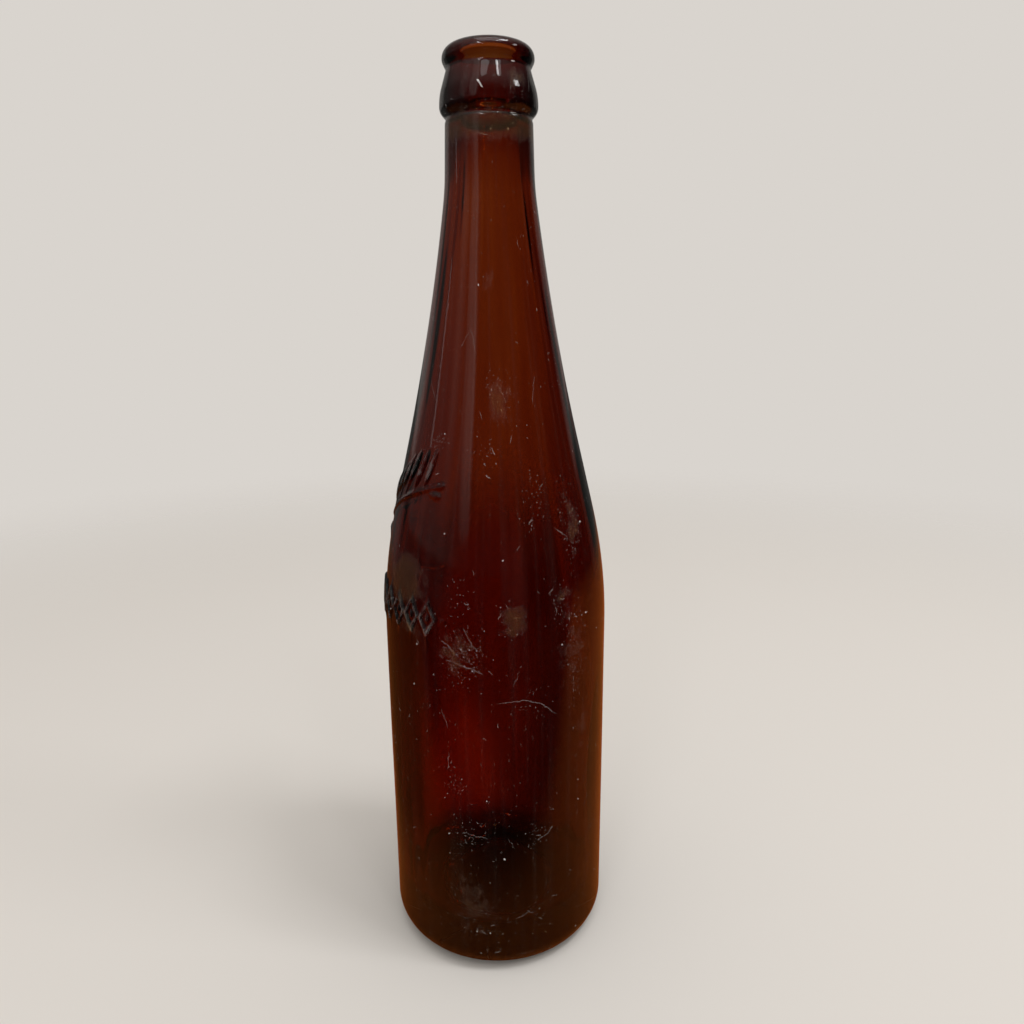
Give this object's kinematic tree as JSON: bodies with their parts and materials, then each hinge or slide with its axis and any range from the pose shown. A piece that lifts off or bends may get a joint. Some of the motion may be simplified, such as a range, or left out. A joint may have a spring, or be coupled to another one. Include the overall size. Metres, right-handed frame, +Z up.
{
  "type": "beer bottle",
  "caption": "Empty amber glass beer bottle with a round body, long sloping shoulder, slim neck and open crown finish, standing upright.",
  "frame": {"origin": "middle of the standing ring, on the surface that the bottle stands on", "axes": "+Z up the bottle's axis to the mouth; -Y is the shown front, with the mould seams on the front and back and the raised ornament on the -X side"},
  "size_m": [0.0736, 0.0736, 0.284],
  "materials": {
    "amber_glass": "gloss, worn: fine scratches, hazy patches and specks"
  },
  "bodies": {
    "root": {"bottle": "amber_glass"}
  },
  "joints": []
}
